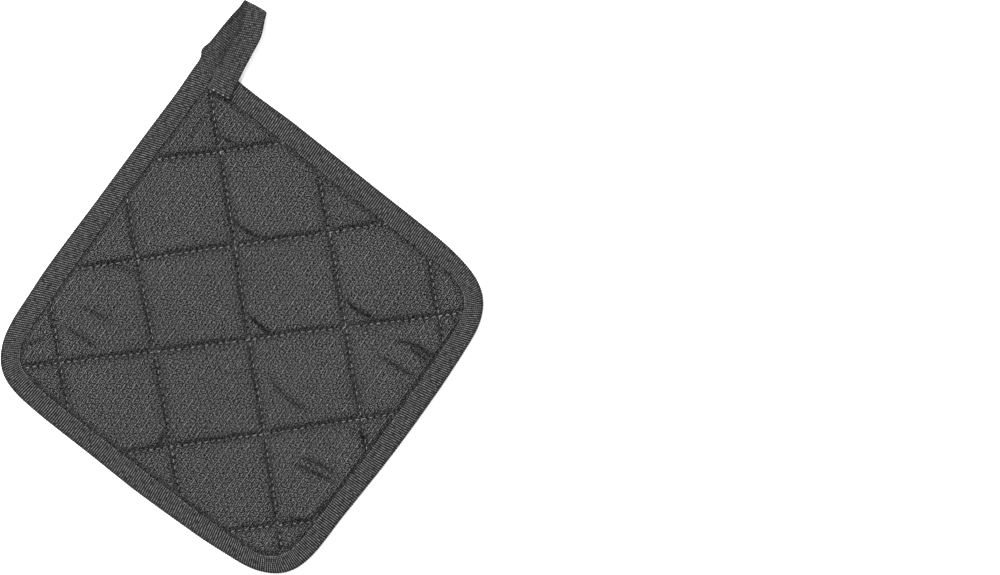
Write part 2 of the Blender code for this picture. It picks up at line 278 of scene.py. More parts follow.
CREASE_STEEPNESS = 1.6  # 2 would make its flanks round as a bell's, and 1 sharp as a V's
# Painted shade along the creases: how wide, where it lies, and how dark for a crease's depth.
CREASE_SHADE_WIDTH = 1.3 * MM
CREASE_SHADE_ASIDE = 0.4 * MM  # the painted shade lies this far to the left of the crease
CREASE_SHADE_DEPTH = 1.5  # in mm: a crease this deep gets painted shade at full strength
CREASE_SHADE_MOST = 2.0  # and deeper ones grow darker up to this
CREASE_SHADE_FULL = 0.625  # it is fully dark where it has this share of its depth

# The weave's repeat, charted over 8 warp threads (across) and 6 picks (down): how much light each
# crossing throws back, from a sunk one to the raised float of the rib.
WEAVE_CHART = (
    ".+-+:++-",
    "**-*-+:=",
    ":++-.*:+",
    "=*.=+#:-",
    ":==*.*==",
    "==-=-*-*",
)
CHART_LEVELS = {".": -3.0, ":": -1.9, "-": -0.8, "=": 0.0, "+": 1.0, "*": 2.0, "#": 3.2}
CHART_RANGE = 3.2
THREADS, PICKS = len(WEAVE_CHART[0]), len(WEAVE_CHART)
REPEAT_ACROSS, REPEAT_ALONG = 4.20 * MM, 3.20 * MM
ACROSS_TURN, ALONG_TURN = math.radians(-43.9), math.radians(43.9)
RIB_THREAD = 5  # the thread that stands up as a rib
MEAN_SHADE = 1.72
HEATHER = 1.8  # chance light and dark of single crossings
UNEVEN_THREADS = 11.0  # light and dark of every other thread, which comes and goes
UNEVEN_RUN = 1.5 * MM
DRIFT = 0.7 * MM  # how far the threads stray from straight
DRIFTS_PER_METRE = 45
BLOTCH_RUN = 40 * MM
LEAST_SHADE = 0.03
WEAVE_DEPTH = 0.03 * MM
SLUB = 2.3  # the thick pale lengths in a rib
HOLLOW_SHADE = 0.4  # how much darker painted shade makes the cloth in the hollows and the creases

# The tape's threads, and how light it is: everywhere, more on a rib, and where a thread crosses it.
WARP_PITCH = 1.05 * MM
FIBRE_RUN = 0.8 * MM
STREAK_RUN = 2.2 * MM  # along a rib
GRAIN_DEPTH = 0.04 * MM
LIT_SHADE = 0.8  # the shade of a fold that gets a painted highlight
RibLook = namedtuple("RibLook", "ground ribs beads")
EDGE_RIBS = RibLook(0.4, 2.8, 1.6)
LOOP_RIBS = RibLook(0.7, 1.7, 2.4)

# The sewing thread: its fibres, and the runs over which it is more or less worn.
THREAD_FIBRE = 0.5 * MM
WEAR_RUN = 3 * MM
THREAD_DEPTH = 0.05 * MM

# Stitches: how long a quilting stitch is, as a share of its pitch, and how askew it lies, in
# degrees. The edge's row lies just inside the tape's open edge, of finer thread.
StitchLay = namedtuple("StitchLay", "share askew")
UPRIGHT_STITCH, LEVEL_STITCH = StitchLay(0.56, -7), StitchLay(0.62, 9)
TURN_JITTER, LENGTH_JITTER = 0.12, 0.08  # in radians, and as a share of the pitch
JITTER_RUN = 3 * MM
EDGE_ROW_FROM, EDGE_ROW_TO = 15 * MM, 12 * MM  # clear of the loop at both ends
EDGE_ROW_INSET = 0.75 * MM
EDGE_STITCH_SHARE = 0.6
EDGE_THREAD_SHARE = 0.75  # of the quilting thread's thickness
# The row across the loop's sewn end: places across it as shares of the width.
LOOP_STITCHES = (-0.27, -0.06, 0.16, 0.37)
LOOP_STITCH_BACK = 0.9 * MM
LOOP_STITCH_LENGTH, LOOP_STITCH_THICKNESS = 1.3 * MM, 0.8 * MM
LOOP_STITCH_ASKEW = 0.15  # in radians

# The view: straight down, turned by PHOTO_TURN, with the holder left of the middle.
PHOTO_WIDTH = 526 * MM
PHOTO_TURN = math.radians(-8)
PHOTO_MIDDLE = Vector((137.1 * MM, 2.5 * MM, 6 * MM))
LENS = 180
SENSOR = 36
KEY_PLACE = Vector((-0.7, 0.95, 3.15))  # before it is turned with the view
KEY_SIZE = 1.4
KEY_WATTS = 165
SKY_STRENGTH = 1.6
FLOOR_RADIUS = 6
FLOOR_GAP = 0.05 * MM

QUILT, TAPE, LOOP = "quilted_cloth_pad", "ribbed_edge_tape", "ribbed_tape_loop"


# --- settings ---------------------------------------------------------------------------------


def length_setting(name, description, default):
    return FloatProperty(
        name=name, description=description, default=default, min=0, precision=5,
        subtype="DISTANCE", unit="LENGTH",
    )


def colour_setting(name, description, default):
    return FloatVectorProperty(
        name=name, description=description, default=default, min=0, max=1, size=3,
        subtype="COLOR",
    )


class HolderSizes(bpy.types.PropertyGroup):
    """Sizes of the cloth, the tape and the thread."""

    crown: length_setting("Crown", "Height that the filling adds to a diamond", 4.0 * MM)
    grid: length_setting("Cloth grid", "Spacing of the simulated cloth's mesh", 1.7 * MM)
    slack: FloatProperty(
        name="Slack", description="Share that the cloth is longer than its filling",
        default=0.007, min=0, max=0.05, subtype="FACTOR", precision=4,
    )
    stitch: length_setting("Stitch", "Length of one quilting stitch with its gap", 3.65 * MM)
    thread: length_setting("Thread", "Thickness of the sewing thread", 0.38 * MM)
    rib_pitch: length_setting("Rib pitch", "Distance from rib to rib on the tape", 1.25 * MM)
    rib_height: length_setting("Rib height", "How far a rib stands up", 0.2 * MM)


class HolderColours(bpy.types.PropertyGroup):
    """Colours of the cloth, the tape, the thread and the floor."""

    cloth: colour_setting("Cloth", "The dark grey cloth", (0.0312, 0.0312, 0.0316))
    tape: colour_setting("Tape", "The ribbed tape", (0.0265, 0.0265, 0.027))
    thread: colour_setting("Thread", "The sewing thread", (0.14, 0.14, 0.143))
    floor: colour_setting("Floor", "The pale floor", (0.95, 0.95, 0.95))


# --- shared shapes ----------------------------------------------------------------------------


def outline_path():
    """Dense points along the pad's outer edge, clockwise from the loop corner and back to it."""
    sides = []
    for corner, following in zip(CORNERS, CORNERS[1:] + CORNERS[:1]):
        start, end = Vector((corner.x, corner.y, 0)), Vector((following.x, following.y, 0))
        along = (end - start).normalized()
        start += along * corner.reach
        end -= along * following.reach
        slope = Vector((-along.y, along.x, 0)) * 4 * corner.bow / (end - start).length
        sides.append((start, (along + slope).normalized(), end, (along - slope).normalized()))
    points = []
    for i, (start, leave, end, arrive) in enumerate(sides):
        third = (end - start).length / 3
        points += interpolate_bezier(
            start, start + leave * third, end - arrive * third, end, SIDE_STEPS
        )
        reach = CORNERS[(i + 1) % len(CORNERS)].reach
        if reach:
            onward, turned = sides[(i + 1) % len(sides)][:2]
            handle = reach * CORNER_FULLNESS
            points += interpolate_bezier(
                end, end + arrive * handle, onward - turned * handle, onward, CORNER_STEPS
            )[1:-1]
    return np.array([point[:2] for point in points])


class Path:
    """A line in plan, read by the distance along it."""

    def __init__(self, points):
        self.points = points
        steps = np.linalg.norm(np.diff(points, axis=0), axis=1)
        self.along = np.concatenate(([0], np.cumsum(steps)))
        self.length = self.along[-1]
        self.ways = np.gradient(points, self.along, axis=0)

    def at(self, along):
        """Point and unit way onward at each distance."""
        point = np.stack([np.interp(along, self.along, c) for c in self.points.T], axis=-1)
        way = np.stack([np.interp(along, self.along, c) for c in self.ways.T], axis=-1)
        return point, way / np.linalg.norm(way, axis=-1, keepdims=True)


OUTLINE = Path(outline_path())


def inset_distance(x, y):
    """How far each point lies inside the pad's outline, which is convex."""
    corners = OUTLINE.points[::CHORD_STEPS]
    nearest = np.full(np.shape(x), np.inf)
    for start, end in zip(corners, np.roll(corners, -1, axis=0)):
        way = (end - start) / np.linalg.norm(end - start)
        nearest = np.minimum(nearest, (x - start[0]) * way[1] - (y - start[1]) * way[0])
    return nearest


def wander(number, along):
    """How far quilting line `number` strays at each distance along it."""
    turn = along / WANDER_RUN + number * 2.3
    return SEAM_WANDER * (0.7 * np.sin(turn) + 0.3 * np.sin(2.7 * turn + number))


def seam_offsets(x, y):
    """Signed distance of each point from every upright line and every level line."""
    upright = [
        x - seam.offset + math.tan(math.radians(seam.lean)) * y - wander(number, y)
        for number, seam in enumerate(UPRIGHT_SEAMS)
    ]
    level = [
        y - seam.offset - math.tan(math.radians(seam.lean)) * x - wander(number + LEVEL_NUMBERS, x)
        for number, seam in enumerate(LEVEL_SEAMS)
    ]
    return upright, level


def seam_places(seams, number, spacing, upright):
    """Places along a quilting line every `spacing`, where they lie clear of the tape."""
    seam = seams[number]
    count = int(SEAM_SPAN / spacing)
    along = (np.arange(count) - count / 2) * spacing
    slope = math.tan(math.radians(seam.lean))
    if upright:
        x, y = seam.offset - slope * along + wander(number, along), along
        way = np.array((-slope, 1.0))
    else:
        x, y = along, seam.offset + slope * along + wander(number + LEVEL_NUMBERS, along)
        way = np.array((1.0, slope))
    inside = past_tape(x, y) > STITCH_CLEAR
    return np.stack((x, y), axis=-1)[inside], way / np.linalg.norm(way)


def smooth_step(value):
    value = np.clip(value, 0, 1)
    return value * value * (3 - 2 * value)


def near(distance, reach):
    """1 at no distance, fading softly, and nearly nothing at twice the reach."""
    return np.exp(-((distance / reach) ** 2))


def uneven(waves, x, y, seed=0):
    """The sum of some Waves at each point."""
    total = np.zeros_like(x)
    for height, run, own in waves:
        spots = [Vector((a / run, b / run, seed + own)) for a, b in zip(x, y)]
        total += height * np.array([noise.noise(spot) for spot in spots])
    return total


def laid(table, share, column):
    """A column of a table of Lay at each share, with soft passages from row to row."""
    shares, values = np.array(table)[:, [0, Lay._fields.index(column)]].T
    row = np.clip(np.searchsorted(shares, share, side="right") - 1, 0, len(shares) - 2)
    part = smooth_step((share - shares[row]) / (shares[row + 1] - shares[row]))
    return values[row] + (values[row + 1] - values[row]) * part


def tape_width(along):
    """Width of the tape at each distance round the edge, a little uneven."""
    width = laid(TAPE_LAY, along / OUTLINE.length, "width")
    return width + uneven(TAPE_WAVES, along, np.zeros_like(along))


def past_tape(x, y):
    """How far each point lies inside the tape's open edge, which its bearing finds."""
    bearings = np.unwrap(np.arctan2(*OUTLINE.points.T[::-1]))
    turn = (bearings[0] - np.arctan2(y, x)) % math.tau
    along = np.interp(turn, bearings[0] - bearings, OUTLINE.along)
    return inset_distance(x, y) - tape_width(along)


def add_piece(name, mesh, material):
    """Link a finished mesh as a piece that rides on the holder's one body."""
    piece = bpy.data.objects.new(name, mesh)
    mesh.materials.append(material)
    bpy.context.scene.collection.objects.link(piece)
    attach(piece, BODY)
    return piece


def bmesh_to_mesh(name, bm):
    mesh = bpy.data.meshes.new(name)
    bm.to_mesh(mesh)
    bm.free()
    mesh.shade_smooth()
    return mesh


# --- materials --------------------------------------------------------------------------------


class Nodes:
    """Short ways to add and join a material's nodes."""

    def __init__(self, name):
        self.material = bpy.data.materials.new(name)
        self.material.use_nodes = True
        self.tree = self.material.node_tree
        self.shader = self.tree.nodes["Principled BSDF"]

    def add(self, kind, **settings):
        node = self.tree.nodes.new(kind)
        for key, value in settings.items():
            setattr(node, key, value)
        return node

    def plug(self, value, socket):
        """Join an output to a socket, or set the socket's own value."""
        if isinstance(value, bpy.types.NodeSocket):
            self.tree.links.new(value, socket)
        else:
            socket.default_value = value

    def math(self, operation, *values):
        node = self.add("ShaderNodeMath", operation=operation)
        for value, socket in zip(values, node.inputs):
            self.plug(value, socket)
        return node.outputs[0]

    def vector(self, operation, *values):
        node = self.add("ShaderNodeVectorMath", operation=operation)
        for value, socket in zip(values, node.inputs):
            self.plug(value, socket)
        return node.outputs["Value" if operation == "DOT_PRODUCT" else "Vector"]

    def noise(self, coordinates, scale, detail=2.0, roughness=0.5):
        node = self.add("ShaderNodeTexNoise")
        self.plug(coordinates, node.inputs["Vector"])
        node.inputs["Scale"].default_value = scale
        node.inputs["Detail"].default_value = detail
        node.inputs["Roughness"].default_value = roughness
        return node.outputs["Fac"]

    def span(self, value, low, high, to_low, to_high):
        node = self.add("ShaderNodeMapRange")
        for item, socket in zip((value, low, high, to_low, to_high), node.inputs):
            self.plug(item, socket)
        return node.outputs[0]

    def tint(self, colour, factor):
        """A colour times a factor."""
        node = self.add("ShaderNodeVectorMath", operation="SCALE")
        node.inputs[0].default_value = tuple(colour)
        self.plug(factor, node.inputs["Scale"])
        return node.outputs[0]

    def finish(self, colour, roughness, gloss, height=None, distance=0.0):
        self.plug(colour, self.shader.inputs["Base Color"])
        self.plug(roughness, self.shader.inputs["Roughness"])
        self.shader.inputs["Specular IOR Level"].default_value = gloss
        if height is not None:
            bump = self.add("ShaderNodeBump")
            bump.inputs["Distance"].default_value = distance
            self.plug(height, bump.inputs["Height"])
            self.plug(bump.outputs[0], self.shader.inputs["Normal"])
        return self.material


def chart_value(nodes, across, along):
    """The weave chart's level at a place given in repeats across the warp and along it."""
    share = nodes.math("FRACT", across)
    row = nodes.math("FLOOR", nodes.math("MULTIPLY", nodes.math("FRACT", along), float(PICKS)))
    total = 0.0
    for number, chart in enumerate(reversed(WEAVE_CHART)):
        ramp = nodes.add("ShaderNodeValToRGB")
        ramp.color_ramp.interpolation = "CONSTANT"
        stops = ramp.color_ramp.elements
        while len(stops) < THREADS:
            stops.new(0.5)
        for thread, mark in enumerate(chart):
            value = CHART_LEVELS[mark] / CHART_RANGE / 2 + 0.5
            stops[thread].position = thread / THREADS
            stops[thread].color = (value, value, value, 1)
        nodes.plug(share, ramp.inputs["Fac"])
        here = nodes.math("COMPARE", row, float(number), 0.5)
        total = nodes.math("MULTIPLY_ADD", ramp.outputs["Color"], here, total)
    return nodes.math("MULTIPLY_ADD", total, 2 * CHART_RANGE, -CHART_RANGE)


def crossing_noise(nodes, thread, pick, thread_step, pick_step):
    """A chance value of a crossing less that of its neighbour, so that no patch comes out pale."""
    values = []
    for steps in ((0, 0), (thread_step, pick_step)):
        crossing = nodes.add("ShaderNodeCombineXYZ")
        nodes.plug(nodes.math("ADD", thread, float(steps[0])), crossing.inputs[0])
        nodes.plug(nodes.math("ADD", pick, float(steps[1])), crossing.inputs[1])
        white = nodes.add("ShaderNodeTexWhiteNoise", noise_dimensions="3D")
        crossing.inputs[2].default_value = thread_step
        nodes.plug(crossing.outputs[0], white.inputs["Vector"])
        values.append(white.outputs["Value"])
    return nodes.math("SUBTRACT", *values)


def cloth_material(colours):
    """Dark heathered cloth: raised ribs with floats between them, and paler slubs."""
    nodes = Nodes("quilted cloth")
    place = nodes.add("ShaderNodeTexCoord").outputs["Object"]
    drift = nodes.add("ShaderNodeTexNoise")
    nodes.plug(place, drift.inputs["Vector"])
    drift.inputs["Scale"].default_value = DRIFTS_PER_METRE
    bent = nodes.vector("SUBTRACT", drift.outputs["Color"], (0.5, 0.5, 0.5))
    bent = nodes.vector("MULTIPLY", bent, (DRIFT, DRIFT, 0))
    bent = nodes.vector("ADD", place, bent)
    repeats = []
    for turn, size in ((ACROSS_TURN, REPEAT_ACROSS), (ALONG_TURN, REPEAT_ALONG)):
        way = (math.cos(turn) / size, math.sin(turn) / size, 0)
        repeats.append(nodes.vector("DOT_PRODUCT", bent, way))
    across, along = repeats
    thread = nodes.math("MULTIPLY", across, float(THREADS))
    pick = nodes.math("MULTIPLY", along, float(PICKS))
    thread_number, pick_number = nodes.math("FLOOR", thread), nodes.math("FLOOR", pick)
    shade = nodes.math("ADD", chart_value(nodes, across, along), 1.0)

    for steps in ((0, -1), (-1, 0)):
        heather = crossing_noise(nodes, thread_number, pick_number, *steps)
        shade = nodes.math("MULTIPLY_ADD", heather, HEATHER, shade)
    for count, offset in ((thread, 0.0), (pick, 0.7)):
        swing = nodes.math("COSINE", nodes.math("MULTIPLY", count, math.pi))
        moved = nodes.vector("ADD", place, (offset, offset, offset))
        strength = nodes.noise(moved, 1 / UNEVEN_RUN, detail=0)
        strength = nodes.math("SUBTRACT", strength, 0.5)
        strength = nodes.math("MULTIPLY", strength, UNEVEN_THREADS)
        shade = nodes.math("MULTIPLY_ADD", swing, strength, shade)

    rib = nodes.math("FLOORED_MODULO", thread_number, float(THREADS))
    rib = nodes.math("COMPARE", rib, float(RIB_THREAD), 0.5)
    strand = nodes.add("ShaderNodeCombineXYZ")
    nodes.plug(thread_number, strand.inputs[0])
    nodes.plug(nodes.math("MULTIPLY", along, 0.6), strand.inputs[1])
    slub = nodes.noise(strand.outputs[0], 1.0, detail=1.0)
    slub = nodes.math("MULTIPLY", nodes.span(slub, 0.52, 0.7, 0.0, SLUB), rib)
    shade = nodes.math("ADD", shade, slub)

    # Painted shade from the pad's attribute darkens seams, the tape's edge, creases and holes.
    painted_hollow_shade = nodes.add("ShaderNodeAttribute", attribute_name="painted_hollow_shade").outputs["Fac"]
    wear_and_painted_shade = nodes.math("MULTIPLY_ADD", painted_hollow_shade, -HOLLOW_SHADE, 1.0)
    blotch = nodes.noise(place, 1 / BLOTCH_RUN)
    height = nodes.math("MAXIMUM", shade, LEAST_SHADE)
    shade = nodes.math("MULTIPLY", height, 1 / MEAN_SHADE)
    shade = nodes.math("MULTIPLY", shade, nodes.span(blotch, 0.3, 0.7, 0.95, 1.05))
    shade = nodes.math("MULTIPLY", shade, wear_and_painted_shade)
    colour = nodes.tint(colours.cloth, shade)
    return nodes.finish(colour, 0.9, gloss=0.08, height=height, distance=WEAVE_DEPTH)


def tape_material(name, sizes, colours, look):
    """Ribbed tape: fine warp threads run along it over the ribs, which are in the mesh."""
    nodes = Nodes(name)
    place = nodes.add("ShaderNodeUVMap", uv_map="tape").outputs[0]
    parts = nodes.add("ShaderNodeSeparateXYZ")
    nodes.plug(place, parts.inputs[0])
    along, across = parts.outputs[0], parts.outputs[1]
    warp = nodes.math("COSINE", nodes.math("MULTIPLY", across, math.tau / WARP_PITCH))
    rib = nodes.math("COSINE", nodes.math("MULTIPLY", along, math.tau / sizes.rib_pitch))
    rim = nodes.add("ShaderNodeAttribute", attribute_name="rim").outputs["Fac"]
    number = nodes.math("ROUND", nodes.math("DIVIDE", along, sizes.rib_pitch))
    strand = nodes.add("ShaderNodeCombineXYZ")
    nodes.plug(number, strand.inputs[0])
    nodes.plug(nodes.math("DIVIDE", across, STREAK_RUN), strand.inputs[1])
    streak = nodes.span(nodes.noise(strand.outputs[0], 1.0, 1.0), 0.3, 0.7, 0.2, 1.8)
    fibre = nodes.math("SUBTRACT", nodes.noise(place, 1 / FIBRE_RUN, 3.0, 0.75), 0.5)
    grain = nodes.math("MULTIPLY", fibre, 3.0)
    grain = nodes.math("MULTIPLY_ADD", nodes.math("MULTIPLY", warp, rib), look.beads, grain)
    shade = nodes.math("MULTIPLY_ADD", rib, look.ribs, nodes.math("ADD", grain, look.ground))
    shade = nodes.math("MAXIMUM", nodes.math("MULTIPLY", shade, streak), 0.05)
    # Painted light from the rim attribute: shade where it is above zero, a highlight below.
    lit = nodes.span(rim, -0.2, -0.8, 0.0, 0.85)
    shade = nodes.math("MULTIPLY_ADD", nodes.math("SUBTRACT", LIT_SHADE, shade), lit, shade)
    shade = nodes.math("MULTIPLY", shade, nodes.math("MULTIPLY_ADD", rim, -0.55, 0.8))
    colour = nodes.tint(colours.tape, shade)
    return nodes.finish(colour, 0.75, gloss=0.12, height=grain, distance=GRAIN_DEPTH)


def thread_material(name, colours, share=1.0):
    """Twisted sewing thread. `share` below 1 is painted shade for thread sunk into the tape."""
    nodes = Nodes(name)
    place = nodes.add("ShaderNodeTexCoord").outputs["Object"]
    fibre = nodes.noise(place, 1 / THREAD_FIBRE)
    wear_and_painted_shade = nodes.span(nodes.noise(place, 1 / WEAR_RUN, detail=0), 0.35, 0.65, 0.5, 1.35)
    shade = nodes.math("MULTIPLY", nodes.span(fibre, 0.3, 0.7, 0.7 * share, 1.3 * share), wear_and_painted_shade)
    colour = nodes.tint(colours.thread, shade)
    return nodes.finish(colour, 0.6, gloss=0.4, height=fibre, distance=THREAD_DEPTH)


def floor_material(colours):
    """A pale, matt studio floor."""
    nodes = Nodes("studio floor")
    place = nodes.add("ShaderNodeTexCoord").outputs["Object"]
    mottle = nodes.noise(place, 3.0)
    colour = nodes.tint(colours.floor, nodes.span(mottle, 0.3, 0.7, 0.99, 1.01))
    return nodes.finish(colour, 0.9, gloss=0.1)


# --- the quilted pad --------------------------------------------------------------------------


def seam_between(seams, position):
    """The line at a position counted in seams, as (offset, slope); outside, the pitch goes on."""
    low = min(max(math.floor(position), 0), len(seams) - 2)
    share = position - low
    inside = min(max(share, 0), 1)
    offset = seams[low].offset + (seams[low + 1].offset - seams[low].offset) * inside
    offset += SEAM_PITCH * (share - inside)
    lean = seams[low].lean + (seams[low + 1].lean - seams[low].lean) * inside
    return offset, math.tan(math.radians(lean))


def graded_positions(seams, per_gap):
    """Positions of the grid lines, closer together beside the seams."""
    share = np.arange(per_gap) / per_gap
    share -= GRID_GRADING * np.sin(math.tau * share) / math.tau
    whole = [seam + part for seam in range(-1, len(seams)) for part in share]
    return whole + [len(seams)]


def seam_grid(spacing):
    """A flat grid whose lines follow the quilting."""
    per_gap = round(SEAM_PITCH / spacing)
    columns = graded_positions(UPRIGHT_SEAMS, per_gap)
    rows = graded_positions(LEVEL_SEAMS, per_gap)
    column_lines = [seam_between(UPRIGHT_SEAMS, position) for position in columns]
    row_lines = [seam_between(LEVEL_SEAMS, position) for position in rows]
    bm = bmesh.new()
    bmesh.ops.create_grid(bm, x_segments=len(columns) - 1, y_segments=len(rows) - 1, size=1)
    for vert in bm.verts:
        column = round((vert.co.x + 1) / 2 * (len(columns) - 1))
        row = round((vert.co.y + 1) / 2 * (len(rows) - 1))
        across, upright_slope = column_lines[column]
        height, level_slope = row_lines[row]
        x = (across - upright_slope * height) / (1 + upright_slope * level_slope)
        vert.co = (x, height + level_slope * x, 0)
    return bm


def trim_to_edge(bm, inset):
    """Cut a flat mesh along the outline moved in by `inset`."""
    point, way = OUTLINE.at(np.linspace(0, OUTLINE.length, 61))
    for (x, y), (way_x, way_y) in zip(point, way):
        place = Vector((x + way_y * inset, y - way_x * inset, 0))
        bmesh.ops.bisect_plane(
            bm,
            geom=bm.verts[:] + bm.edges[:] + bm.faces[:],
            plane_co=place,
            plane_no=(-way_y, way_x, 0),
            clear_outer=True,
        )


def flank(distance, foot, side):
    """The side of a puff: a steep foot beside the stitching, and a dome that rounds off inwards.

    `side` is the share of the height that the steep foot takes.
    """
    dome = 1 - (1 - np.clip((distance - foot) / (DOME_REACH - foot), 0, 1)) ** 3
    return side * smooth_step((distance - foot) / FOOT_WIDTH) + (1 - side) * dome


def edge_rise(distance):
    """The side of a puff along the tape."""
    return smooth_step(distance / EDGE_FOOT)


def beside(offsets):
    """Distance past the line before each point, and distance to the line after it."""
    past = np.full(offsets[0].shape, SEAM_PITCH)
    to = past.copy()
    for offset in offsets:
        past = np.where(offset >= 0, np.minimum(past, offset), past)
        to = np.where(offset < 0, np.minimum(to, -offset), to)
    return past, to


def pulled(distance, x, y, seed):
    """A distance from the stitching, drawn in and let out unevenly along it."""
    fading = np.exp(-distance / PULL_REACH)
    return np.maximum(distance - uneven(PULL_WAVES, x, y, seed) * fading, 0)


def shaded(shade, distance):
    """How dark a painted Shade is at each distance from its line."""
    return shade.share * near(distance - shade.middle, shade.width)


def puff_share(x, y, edge):
    """How full the pad is at each point, and how much painted shade it gets by the seams and tape.

    Fullness is 0 in the stitching and 1 once clear of it. A puff hangs over its lower and its
    right seam, and starts at its upper and its left one. `edge` is the distance past the tape.
    """
    upright, level = seam_offsets(x, y)
    past, to = beside(upright)
    over, under = beside(level)
    past, to = pulled(past, x, y, 1.1), pulled(to, x, y, 2.2)
    under, over = pulled(under, x, y, 3.3), pulled(over, x, y, 4.4)
    fill = flank(past, 0, FREE_FLANK) * flank(to, HANGS_RIGHT, HANGING_FLANK)
    fill *= flank(under, 0, FREE_FLANK) * flank(over, HANGS_DOWN, HANGING_FLANK)
    nearest = np.minimum(np.minimum(past, to), np.minimum(under, over))
    bunched = near(x - BUNCHED_X, BUNCHED_WIDTH) * near(y - BUNCHED_Y, BUNCHED_HEIGHT)
    painted_hollow_shade = np.maximum.reduce(
        (
            shaded(RIGHT_SHADE, to),
            shaded(LOWER_SHADE, over),
            shaded(NEAR_SHADE, nearest),
            shaded(EDGE_SHADE, edge) * (1 - BUNCHED_FADE * bunched),
        )
    )
    return fill * edge_rise(edge), painted_hollow_shade


def crease_line(crease):
    """Points along a crease."""
    start = Vector((crease.x, crease.y, 0)) * MM
    bend = Vector((crease.bend_x, crease.bend_y, 0)) * MM
    end = Vector((crease.end_x, crease.end_y, 0)) * MM
    pull = bend * 2 - (start + end) / 2
    return interpolate_bezier(
        start, start.lerp(pull, 2 / 3), end.lerp(pull, 2 / 3), end, CREASE_STEPS
    )


def nearest_on(line, x, y):
    """Signed distance of each point from a line, left of it positive, and its share along it."""
    nearest, share = np.full(x.shape, np.inf), np.zeros_like(x)
    for i, (start, end) in enumerate(zip(line, line[1:])):
        way = end - start
        part = ((x - start.x) * way.x + (y - start.y) * way.y) / way.length_squared
        part = np.clip(part, 0, 1)
        off_x, off_y = x - start.x - way.x * part, y - start.y - way.y * part
        gap = np.hypot(off_x, off_y)
        closer = gap < np.abs(nearest)
        nearest = np.where(closer, np.copysign(gap, way.x * off_y - way.y * off_x), nearest)
        share = np.where(closer, (i + part) / (len(line) - 1), share)
    return nearest, share


def crease_depth(x, y):
    """How much deeper the creases make the front at each point, and their painted shade."""
    depth, painted_hollow_shade = np.zeros_like(x), np.zeros_like(x)
    for crease in CREASES:
        gap, share = nearest_on(crease_line(crease), x, y)
        width = np.where(gap > 0, crease.left, crease.right) * MM
        taper = np.sin(math.pi * (CREASE_ENDS + (1 - 2 * CREASE_ENDS) * share))
        depth += crease.depth * MM * taper * np.exp(-np.abs(gap / width) ** CREASE_STEEPNESS)
        inner = near(gap - CREASE_SHADE_ASIDE, CREASE_SHADE_WIDTH * (0.6 + 0.6 * share))
        dark = min(crease.depth / CREASE_SHADE_DEPTH, CREASE_SHADE_MOST)
        dark = dark * np.minimum(taper / CREASE_SHADE_FULL, 1)
        painted_hollow_shade = np.maximum(painted_hollow_shade, dark * inner)
    return depth, painted_hollow_shade


def needle_dip(x, y, stitch):
    """How strongly the thread draws the cloth down at its holes."""
    upright, level = seam_offsets(x, y)
    dip = np.zeros_like(x)
    for offsets, along, pull in ((upright, y, 1.0), (level, x, LEVEL_PULL)):
        hole = pull * (0.5 + 0.5 * np.cos(math.tau * along / stitch)) ** 2
        for offset in offsets:
            dip = np.maximum(dip, near(offset, DIP_WIDTH) * hole)
    return dip


def pad_heights(x, y, swell, sizes):
    """Front and back heights at each point, and how much painted shade the cloth gets there."""
    edge = past_tape(x, y)
    fill, painted_hollow_shade = puff_share(x, y, edge)
    crease, crease_painted_shade = crease_depth(x, y)
    dip = needle_dip(x, y, sizes.stitch)
    shown = smooth_step((edge + UNDER_TAPE) / RISE_WIDTH)
    swollen = 1 - np.exp(-np.maximum(swell, 0) / SWELL_REACH)
    front = EDGE_HIGH + (SEAM_HIGH - EDGE_HIGH) * shown
    front += sizes.crown * (FILLED_SHARE * fill + SWOLLEN_SHARE * swollen) * shown
    front += (uneven(FRONT_WAVES, x, y) * fill - crease - DIP_DEPTH * dip) * shown
    back = EDGE_LOW - (BACK_CROWN + uneven(BACK_WAVES, x, y)) * fill
    pressed = PRESS_SOFTNESS * np.exp(back / PRESS_SOFTNESS - 1)
    back = np.where(back > PRESS_SOFTNESS, back, pressed)
    # Painted shade beside the seams, along the tape, in the creases and at the needle holes.
    painted_hollow_shade = np.maximum.reduce((painted_hollow_shade, crease_painted_shade, DIP_SHADE * dip)) * shown
    painted_hollow_shade *= 1 + uneven(SHADE_WAVES, x, y)
    return front, np.maximum(back, LYING_LOW), painted_hollow_shade


